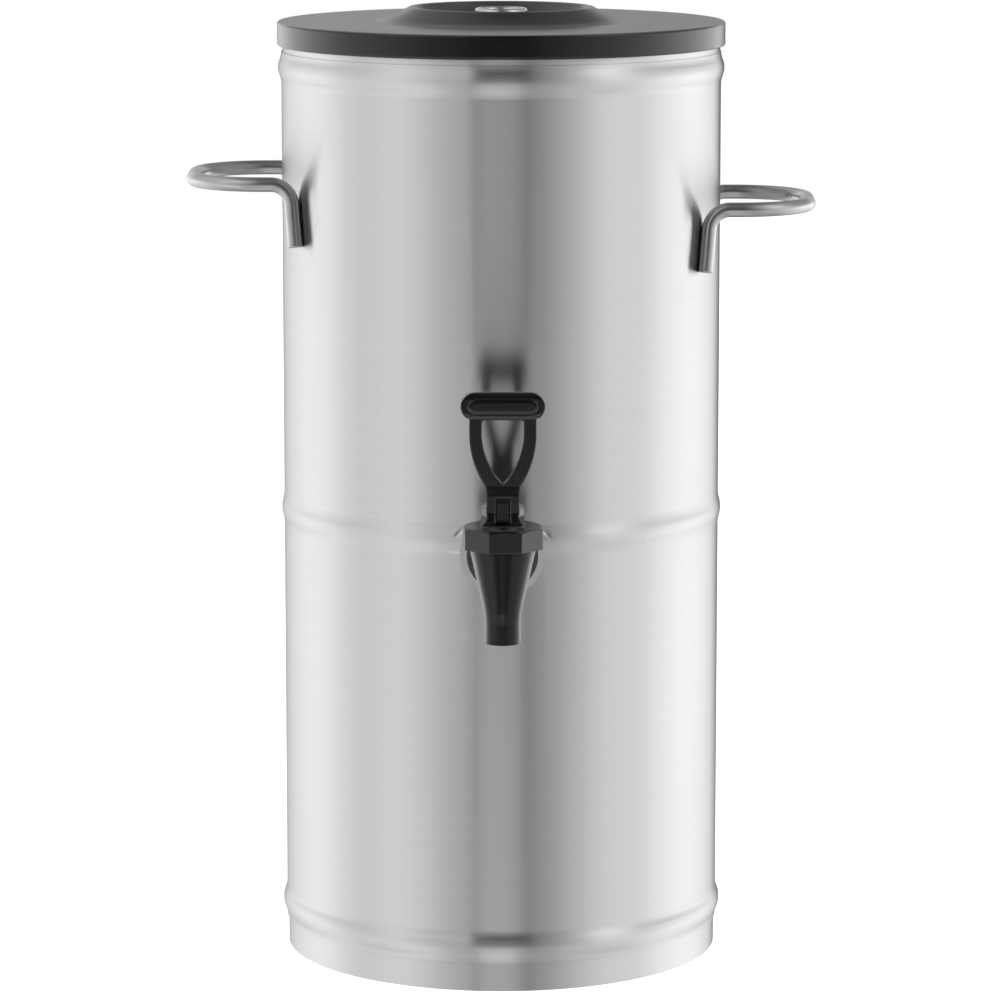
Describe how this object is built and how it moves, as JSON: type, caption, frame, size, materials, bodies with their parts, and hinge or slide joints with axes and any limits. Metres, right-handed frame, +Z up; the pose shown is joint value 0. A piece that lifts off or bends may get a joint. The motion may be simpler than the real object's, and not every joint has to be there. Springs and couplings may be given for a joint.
{
  "type": "drink dispenser urn",
  "caption": "Round stainless steel drink urn with beaded body, hollow skirt, rod handles, dark lid with brew plug, and a self-closing black tap.",
  "frame": {"origin": "centre of the foot ring, on the surface that the urn stands on, on the body's axis", "axes": "+Z up along the body's axis, -Y towards the tap, +X to the right of someone facing the tap"},
  "size_m": [0.347, 0.3021, 0.5232],
  "materials": {
    "steel_body": "brushed, satin",
    "steel_rod": "polished rod, satin",
    "bright_steel": "bright",
    "spring_steel": "drawn wire",
    "lid_plastic": "fine-textured, satin",
    "tap_plastic": "glossy",
    "silicone": "translucent silicone",
    "black_rubber": "smooth"
  },
  "bodies": {
    "urn": {"body_shell": "steel_body", "tank_floor": "steel_body", "handle_left": "steel_rod", "handle_right": "steel_rod", "tap_body": "tap_plastic", "tap_bonnet": "tap_plastic", "outer_washer": "black_rubber", "inner_washer": "silicone", "steel_washer": "steel_body", "lock_nut": "tap_plastic"},
    "stem": {"valve_stem": "tap_plastic", "seat_cup": "silicone", "closing_spring": "spring_steel"},
    "lever": {"lever": "tap_plastic", "grip_insert": "tap_plastic", "lever_pin": "bright_steel"},
    "lid": {"lid": "lid_plastic"},
    "plug": {"brew_plug": "bright_steel", "plug_gasket": "silicone"}
  },
  "joints": [
    {"name": "stem_lift", "type": "slide", "parent": "urn", "child": "stem", "axis": [0, 0, 1], "range_m": [0, 0.0031], "deforming": ["closing_spring", "seat_cup"]},
    {"name": "lever_pull", "type": "hinge", "parent": "stem", "child": "lever", "pos_m": [0, -0.1585, 0.269], "axis": [1, 0, 0], "range_deg": [0, 35], "stiffness_Nm_per_rad": 0.05, "springref_deg": -45.84},
    {"name": "lid_lift", "type": "slide", "parent": "urn", "child": "lid", "axis": [0, 0, 1], "range_m": [0, 0.08]},
    {"name": "plug_lift", "type": "slide", "parent": "lid", "child": "plug", "axis": [0, 0, 1], "range_m": [0, 0.03]}
  ],
  "couplings": [
    {"joint": "stem_lift", "follows": "lever_pull", "m_per_rad": 0.005}
  ]
}
